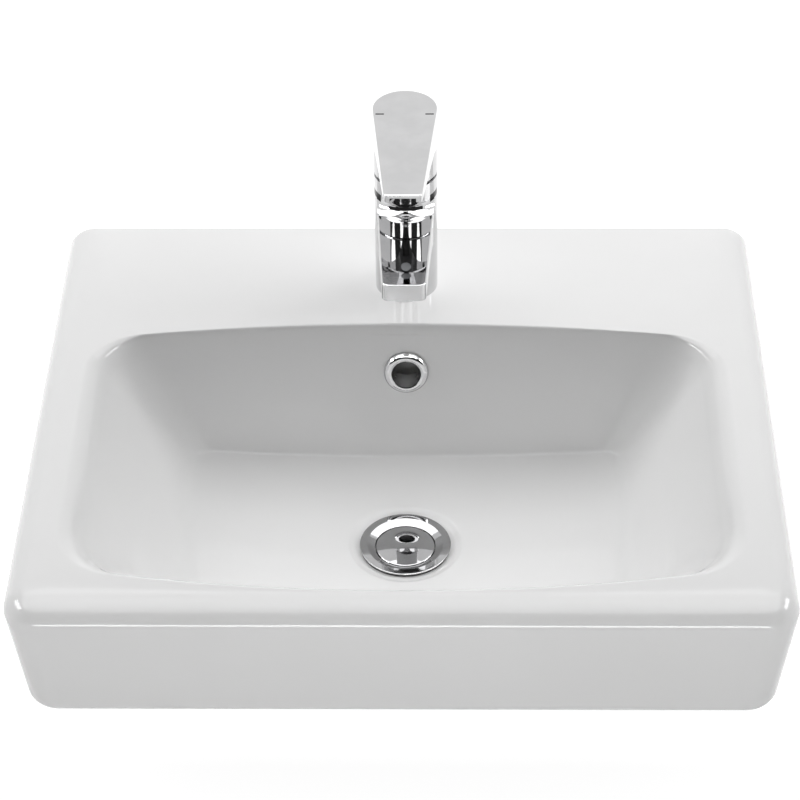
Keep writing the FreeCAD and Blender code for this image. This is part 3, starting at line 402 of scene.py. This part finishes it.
def roundedEdge(top):
    rings = []
    for step in range(basinSizes["roundSteps"] + 1):
        angle = math.pi / 2 * step / basinSizes["roundSteps"]
        if top:  # up from the apron to the deck
            size = basinSizes["topRound"]
            inset = size * (1 - math.cos(angle))
            rings.append(apronRing(basinSizes["rim"] - size * (1 - math.sin(angle)), inset,
                                   basinSizes["backRound"] * (1 - math.cos(angle)), inset))
        else:  # out from the underside to the apron
            size = basinSizes["bottomRound"]
            inset = size * (1 - math.sin(angle))
            rings.append(apronRing(basinSizes["apronFoot"] + size * (1 - math.cos(angle)), inset, 0.0, inset))
    return rings


def basinRings():
    curve = smoothRows(bowlSizes["rows"], bowlSizes["rowSteps"], bowlSizes["reaches"], bowlSizes["rimPull"])
    wall = [bowlRing(row) for row in curve]
    foot = wall[-1]
    rings = wall + floorRings(foot)
    seat, hole = wasteSizes["seat"], wasteSizes["hole"]
    boss, bossFoot = wasteSizes["bossRadius"], wasteSizes["bossFoot"]
    chamber, roof, chamberFoot = (wasteSizes[key] for key in ("chamberRadius", "chamberRoof", "chamberFoot"))
    edge, fillet = wasteSizes["bossEdge"], wasteSizes["bossFillet"]
    under = seat - basinSizes["wall"]
    for radius, z in (
            (wasteSizes["seatInner"], seat), (hole, seat - wasteSizes["funnel"]), (hole, roof),
            (chamber, roof), (chamber, chamberFoot), (hole, chamberFoot), (hole, bossFoot),
            (boss - edge, bossFoot), (boss, bossFoot + edge), (boss, under - fillet), (boss + fillet, under)):
        rings.append(circleFacing(foot, radius, z))
    outside = [bowlRing(row, basinSizes["wall"], basinSizes["wall"]) for row in curve[::2]]
    highest = basinSizes["deckUnder"] - basinSizes["skinGap"]
    rings += [ring for ring in reversed(outside) if ring[0][2] < highest]
    underDeck = bowlOutline(bowlSizes["rows"][bowlSizes["underDeckRow"]], basinSizes["wall"])
    rings.append(level(underDeck, basinSizes["deckUnder"]))
    skirt = basinSizes["deckUnder"] - basinSizes["apronFoot"]
    for z in (basinSizes["deckUnder"], basinSizes["apronFoot"]):
        share = (basinSizes["deckUnder"] - z) / skirt
        lean = share * basinSizes["sideLean"] + basinSizes["innerLean"]
        rings.append(level(outlineOf(basinSizes["halfWidth"] - basinSizes["wall"] - lean, basinSizes["wall"],
                                     basinSizes["depth"] - basinSizes["wall"], basinSizes["innerCorner"],
                                     basinSizes["innerCorner"]), z))
    rings += roundedEdge(False)
    rings += [apronRing(z, 0.0, 0.0, 0.0) for z in basinSizes["apronLevels"]]
    rings += roundedEdge(True)
    rings.append(level(bowlOutline(bowlSizes["rows"][0], basinSizes["deckJoin"]), basinSizes["rim"]))
    rings.append(rings[0])
    return rings


def skinThrough(rings):
    bm = bmesh.new()
    placeOf = bm.verts.layers.int.new("place")
    made = bmesh.ops.create_circle(bm, cap_ends=False, radius=1.0, segments=len(rings[0]))
    for index, vert in enumerate(made["verts"]):
        vert[placeOf] = index
    verts, edges = list(bm.verts), list(bm.edges)
    for number, ring in enumerate(rings):
        if number:
            grown = bmesh.ops.extrude_edge_only(bm, edges=edges)["geom"]
            verts = [part for part in grown if isinstance(part, bmesh.types.BMVert)]
            edges = [part for part in grown if isinstance(part, bmesh.types.BMEdge)]
        for vert in verts:
            vert.co = at(*ring[vert[placeOf]])
    bmesh.ops.remove_doubles(bm, verts=bm.verts, dist=sameSpot)
    return bm


def carve(piece, cutters):
    # unions and cuts, one after another, then the piece keeps the result as its own mesh
    for cutter, operation in cutters:
        change = piece.modifiers.new("carve", "BOOLEAN")
        change.operation = operation
        change.object = cutter
        change.solver = "EXACT"
    graph = bpy.context.evaluated_depsgraph_get()
    mesh = bpy.data.meshes.new_from_object(piece.evaluated_get(graph))
    piece.modifiers.clear()
    piece.data = mesh
    for cutter, operation in cutters:
        bpy.data.objects.remove(cutter)


def cutterFrom(bm):
    mesh = bpy.data.meshes.new("cutter")
    bmesh.ops.recalc_face_normals(bm, faces=bm.faces)
    bm.to_mesh(mesh)
    bm.free()
    cutter = bpy.data.objects.new("cutter", mesh)
    bpy.context.scene.collection.objects.link(cutter)
    return cutter


def boxCutter(low, high):
    bm = bmesh.new()
    bmesh.ops.create_cube(bm, size=1.0)
    first, last = at(*low), at(*high)
    size = [abs(b - a) for a, b in zip(first, last)]
    bmesh.ops.scale(bm, verts=bm.verts, vec=size)
    bmesh.ops.translate(bm, verts=bm.verts, vec=(first + last) / 2)
    return cutterFrom(bm)


def rodCutter(radius, start, end, segments=96):
    bm = bmesh.new()
    first, last = at(*start), at(*end)
    bmesh.ops.create_cone(bm, cap_ends=True, segments=segments, radius1=radius * mm, radius2=radius * mm,
                          depth=(last - first).length)
    turned = (last - first).to_track_quat("Z", "Y").to_matrix()
    bmesh.ops.rotate(bm, verts=bm.verts, matrix=turned)
    bmesh.ops.translate(bm, verts=bm.verts, vec=(first + last) / 2)
    return cutterFrom(bm)


passage = {  # the overflow's way down behind the bowl and under its floor to the waste
    "half": 20.0, "wall": 7.0, "front": 115.6, "back": 103.6, "top": 36.3, "blockTop": 54.0,
    "low": wasteSizes["chamberFoot"], "roof": wasteSizes["chamberRoof"], "blockLow": wasteSizes["bossFoot"],
    "overflowZ": 23.8, "overflowOut": 126.6, "holeRadius": 12.5, "tilt": 8.9, "holeInside": 9.0,
    "holeBehind": 17.0, "floorCover": 5.0,
}
fixings = {"spacing": 280.0, "hole": 7.0, "pad": 18.0, "padFrom": 5.0, "padReach": 16.0, "overcut": 2.0}
tapHole = {"out": 71.0, "radius": 17.5, "low": 40.0, "high": 70.0}
softFoot = {  # where the wall is smoothed into the floor, in metres, and how many times
    "turns": 60, "from": 0.144, "spread": 0.040, "front": 0.352, "half": 0.185, "low": -0.0475, "high": 0.0,
}


def makeBasin():
    bm = skinThrough(basinRings())
    soften = [vert for vert in bm.verts if softFoot["low"] < vert.co.z < softFoot["high"]]
    for turn in range(softFoot["turns"]):
        # away from the crease at the back the wall runs into the floor, more so further forward
        reach = softFoot["from"] + softFoot["spread"] * turn / softFoot["turns"]
        chosen = [vert for vert in soften
                  if -softFoot["front"] < vert.co.y < -reach and abs(vert.co.x) < softFoot["half"]]
        bmesh.ops.smooth_vert(bm, verts=chosen, factor=0.5, use_axis_x=True, use_axis_y=True, use_axis_z=True)
    bmesh.ops.recalc_face_normals(bm, faces=bm.faces)
    basin = pieceFrom(bm, "basinCeramic", "basin_and_fittings", ("basin",))
    out = passage["half"] + passage["wall"]
    sink, up = math.sin(math.radians(passage["tilt"])), math.cos(math.radians(passage["tilt"]))
    start, end = ((0.0, passage["overflowOut"] + far * up, passage["overflowZ"] + far * sink)
                  for far in (passage["holeInside"], -passage["holeBehind"]))
    added = [  # the passage's outer walls
        boxCutter((-out, passage["front"] + passage["wall"], passage["blockLow"]),
                  (out, passage["back"] - passage["wall"], passage["blockTop"])),
        boxCutter((-out, wasteSizes["out"], passage["blockLow"]),
                  (out, passage["front"], wasteSizes["seat"] - passage["floorCover"])),
    ]
    removed = [  # the passage, the overflow's hole and the tap's
        boxCutter((-passage["half"], passage["front"], passage["low"]),
                  (passage["half"], passage["back"], passage["top"])),
        boxCutter((-passage["half"], wasteSizes["out"], passage["low"]),
                  (passage["half"], passage["back"], passage["roof"])),
        rodCutter(passage["holeRadius"], start, end),
        rodCutter(tapHole["radius"], *((0.0, tapHole["out"], tapHole[key]) for key in ("low", "high"))),
    ]
    for side in (-1, 1):
        x = side * fixings["spacing"] / 2
        reach = fixings["padReach"]  # a pad round each wall fixing, with its hole
        added.append(rodCutter(fixings["pad"], (x, fixings["padFrom"], 0.0), (x, reach, 0.0)))
        removed.append(rodCutter(fixings["hole"], (x, -fixings["overcut"], 0.0),
                                 (x, reach + fixings["overcut"], 0.0)))
    carve(basin, [(cutter, "UNION") for cutter in added] + [(cutter, "DIFFERENCE") for cutter in removed])
    basin.data.shade_smooth()
    basin.data.set_sharp_from_angle(angle=math.radians(basinSizes["sharpAngle"]))
    basin.data.materials.clear()
    basin.data.materials.append(glaze)
    return basin


basinCeramic = makeBasin()
print("basin shaped", len(basinCeramic.data.polygons))


# floor, cards and lamps
studio = {
    "floorDrop": 0.084,
    "floorSize": 12.0,
    "skyFront": 0.025,  # the room in front of the basin is dim, the one behind it is pale
    "skyBack": 0.12,
    "skyTurn": 0.5,  # how far in front of and behind the middle the two meet
    "floorShade": 0.8,
    "seenFloor": 0.96,
    "seenShadow": 0.25,  # the floor's shade that lets its shadow show
}
black, pale = {"shade": 0.03, "glow": 0.0}, {"shade": 0.8, "glow": 2.6}
window = {"shade": 0.8, "glow": 9.0, "far": 1.9, "size": (1.1, 0.45)}
darkSide = {**black, "elevation": 24, "far": 2.1, "size": (1.3, 1.5)}
# azimuth from the front towards the right and elevation, in degrees about the rim's middle; sizes in metres
rimMiddle = (0, -0.25, 0.06)
cards = {
    "roundCamera": {**black, "azimuth": 0, "elevation": 18, "far": 2.3, "size": (3.2, 1.75)},
    "aboveCamera": {**pale, "azimuth": 0, "elevation": 43, "far": 2.2, "size": (1.5, 0.24)},
    "softAbove": {**pale, "azimuth": 0, "elevation": 73, "far": 1.6, "size": (3.0, 1.4)},
    "darkLeft": {**darkSide, "azimuth": -43},
    "darkRight": {**darkSide, "azimuth": 43},
    "windowLeft": {**window, "azimuth": -80, "elevation": 29},
    "windowRight": {**window, "azimuth": 92, "elevation": 27},
}
# a dark board that keeps the floor's light off the apron's foot
flag = {"place": (0, -0.57, -0.08), "aim": (0, -0.57, -1), "size": (1.2, 0.34), "shade": 0.05, "glow": 0.0}
# mirrored only: the bright line on the apron's top edge, and the dark floor in front of the basin
edgeLine = {
    "place": (0, -0.70, -0.037), "aim": (0, -0.40, 0.05), "size": (0.58, 0.040), "shade": 0.8, "glow": 9.0,
}
darkFloor = {**black, "place": (0, -1.7, -0.083), "aim": (0, -1.7, -1), "size": (3.0, 1.7)}
# lamps: a mirrored one shows in the chrome and the glaze too
sideBox = {"aim": (0, -0.25, 0), "size": (1.9, 1.2), "power": 18.6, "mirrored": False}
softboxes = {
    "overhead": {"place": (0, 0.36, 1.72), "aim": (0, -0.2, 0), "size": (2.6, 1.4), "power": 18.8,
                 "mirrored": True},
    "sideLeft": {**sideBox, "place": (-1.6, 0.27, 1.15)},
    "sideRight": {**sideBox, "place": (1.6, 0.27, 1.15)},
    "frontStrip": {"place": (0, -1.2, -0.02), "aim": (0, -0.4, 0.0), "size": (1.5, 0.10), "power": 4.9,
                   "mirrored": False},
}


def whiteRays(tree):
    # 1 for the rays that should meet the white background, 0 for the rest
    rays = tree.nodes.new("ShaderNodeLightPath")
    seen = tree.nodes.new("ShaderNodeMath")
    seen.operation = "MAXIMUM"
    tree.links.new(rays.outputs["Is Camera Ray"], seen.inputs[0])
    tree.links.new(rays.outputs["Is Glossy Ray"], seen.inputs[1])
    either = tree.nodes.new("ShaderNodeMath")
    either.operation = "MAXIMUM"
    tree.links.new(seen.outputs["Value"], either.inputs[0])
    tree.links.new(rays.outputs["Is Transmission Ray"], either.inputs[1])
    return either.outputs["Value"]


def layFloor(facts):
    bm = bmesh.new()
    bmesh.ops.create_grid(bm, x_segments=4, y_segments=4, size=facts["floorSize"])
    bmesh.ops.translate(bm, verts=bm.verts, vec=(0, 0, -facts["floorDrop"]))
    mesh = bpy.data.meshes.new("floor")
    bm.to_mesh(mesh)
    bm.free()
    floor = bpy.data.objects.new("floor", mesh)
    bpy.context.scene.collection.objects.link(floor)
    material, tree, shader = newMaterial("paleFloor")
    shader.inputs["Base Color"].default_value = (*[facts["floorShade"]] * 3, 1)
    shader.inputs["Roughness"].default_value = 0.9
    shader.inputs["Specular IOR Level"].default_value = 0.0
    # what the camera sees is mostly white, with the shadow left in
    glow = tree.nodes.new("ShaderNodeEmission")
    glow.inputs["Strength"].default_value = facts["seenFloor"]
    faint = tree.nodes.new("ShaderNodeBsdfDiffuse")
    faint.inputs["Color"].default_value = (*[facts["seenShadow"]] * 3, 1)
    both = tree.nodes.new("ShaderNodeAddShader")
    tree.links.new(glow.outputs["Emission"], both.inputs[0])
    tree.links.new(faint.outputs["BSDF"], both.inputs[1])
    mix = tree.nodes.new("ShaderNodeMixShader")
    tree.links.new(whiteRays(tree), mix.inputs["Fac"])
    tree.links.new(shader.outputs["BSDF"], mix.inputs[1])
    tree.links.new(both.outputs["Shader"], mix.inputs[2])
    tree.links.new(mix.outputs["Shader"], tree.nodes["Material Output"].inputs["Surface"])
    mesh.materials.append(material)


def lightSky(facts):
    world = bpy.data.worlds.new("studio")
    bpy.context.scene.world = world
    world.use_nodes = True
    tree = world.node_tree
    plain = tree.nodes["Background"]
    plain.inputs["Color"].default_value = (1, 1, 1, 1)
    where = tree.nodes.new("ShaderNodeTexCoord")
    split = tree.nodes.new("ShaderNodeSeparateXYZ")
    tree.links.new(where.outputs["Generated"], split.inputs["Vector"])
    spread = tree.nodes.new("ShaderNodeMapRange")
    spread.interpolation_type = "SMOOTHSTEP"
    spread.inputs["From Min"].default_value = -facts["skyTurn"]
    spread.inputs["From Max"].default_value = facts["skyTurn"]
    spread.inputs["To Min"].default_value = facts["skyFront"]
    spread.inputs["To Max"].default_value = facts["skyBack"]
    tree.links.new(split.outputs["Y"], spread.inputs["Value"])
    tree.links.new(spread.outputs["Result"], plain.inputs["Strength"])
    white = tree.nodes.new("ShaderNodeBackground")
    white.inputs["Strength"].default_value = 1.0
    white.inputs["Color"].default_value = (1, 1, 1, 1)
    mix = tree.nodes.new("ShaderNodeMixShader")
    tree.links.new(whiteRays(tree), mix.inputs["Fac"])
    tree.links.new(plain.outputs["Background"], mix.inputs[1])
    tree.links.new(white.outputs["Background"], mix.inputs[2])
    tree.links.new(mix.outputs["Shader"], tree.nodes["World Output"].inputs["Surface"])


def turnedTo(place, aim):
    place = Vector(place)
    turned = (place - Vector(aim)).to_track_quat("Z", "Y").to_matrix().to_4x4()
    return Matrix.Translation(place) @ turned


def standCard(name, facts, onlyMirrored=True):
    bm = bmesh.new()
    bmesh.ops.create_grid(bm, x_segments=1, y_segments=1, size=0.5)
    width, height = facts["size"]
    bmesh.ops.scale(bm, verts=bm.verts, vec=(width, height, 1))
    bmesh.ops.transform(bm, verts=bm.verts, matrix=turnedTo(facts["place"], facts["aim"]))
    mesh = bpy.data.meshes.new(name)
    bm.to_mesh(mesh)
    bm.free()
    card = bpy.data.objects.new(name, mesh)
    bpy.context.scene.collection.objects.link(card)
    material, tree, shader = newMaterial(name)
    shader.inputs["Base Color"].default_value = (*[facts["shade"]] * 3, 1)
    shader.inputs["Roughness"].default_value = 1.0
    shader.inputs["Emission Color"].default_value = (1, 1, 1, 1)
    shader.inputs["Emission Strength"].default_value = facts["glow"]
    mesh.materials.append(material)
    card.visible_camera = card.visible_shadow = False
    card.visible_diffuse = not onlyMirrored
    card.visible_glossy = onlyMirrored


def placeOfCard(facts):
    azimuth, elevation = math.radians(facts["azimuth"]), math.radians(facts["elevation"])
    flat = facts["far"] * math.cos(elevation)
    away = Vector((flat * math.sin(azimuth), -flat * math.cos(azimuth), facts["far"] * math.sin(elevation)))
    return Vector(rimMiddle) + away


def hangSoftbox(name, facts, casters):
    data = bpy.data.lights.new(name, "AREA")
    data.shape = "RECTANGLE"
    data.size, data.size_y = facts["size"]
    data.energy = facts["power"]
    lamp = bpy.data.objects.new(name, data)
    bpy.context.scene.collection.objects.link(lamp)
    lamp.matrix_world = turnedTo(facts["place"], facts["aim"])
    lamp.visible_glossy = facts["mirrored"]
    lamp.light_linking.blocker_collection = casters


layFloor(studio)
lightSky(studio)
for name, facts in cards.items():
    standCard(name, {**facts, "place": placeOfCard(facts), "aim": rimMiddle})
standCard("flagBelow", flag, onlyMirrored=False)
standCard("darkFloor", darkFloor)
standCard("edgeLine", edgeLine)
casters = bpy.data.collections.new("casters")  # the tap's long shadows are kept off the deck
for caster in (basinCeramic, nodes["overflow_ring"], nodes["waste_flange"], nodes["plug_cap"]):
    casters.objects.link(caster)
for name, facts in softboxes.items():
    hangSoftbox(name, facts, casters)
bpy.context.scene.view_settings.view_transform = "Standard"
print("studio lit")
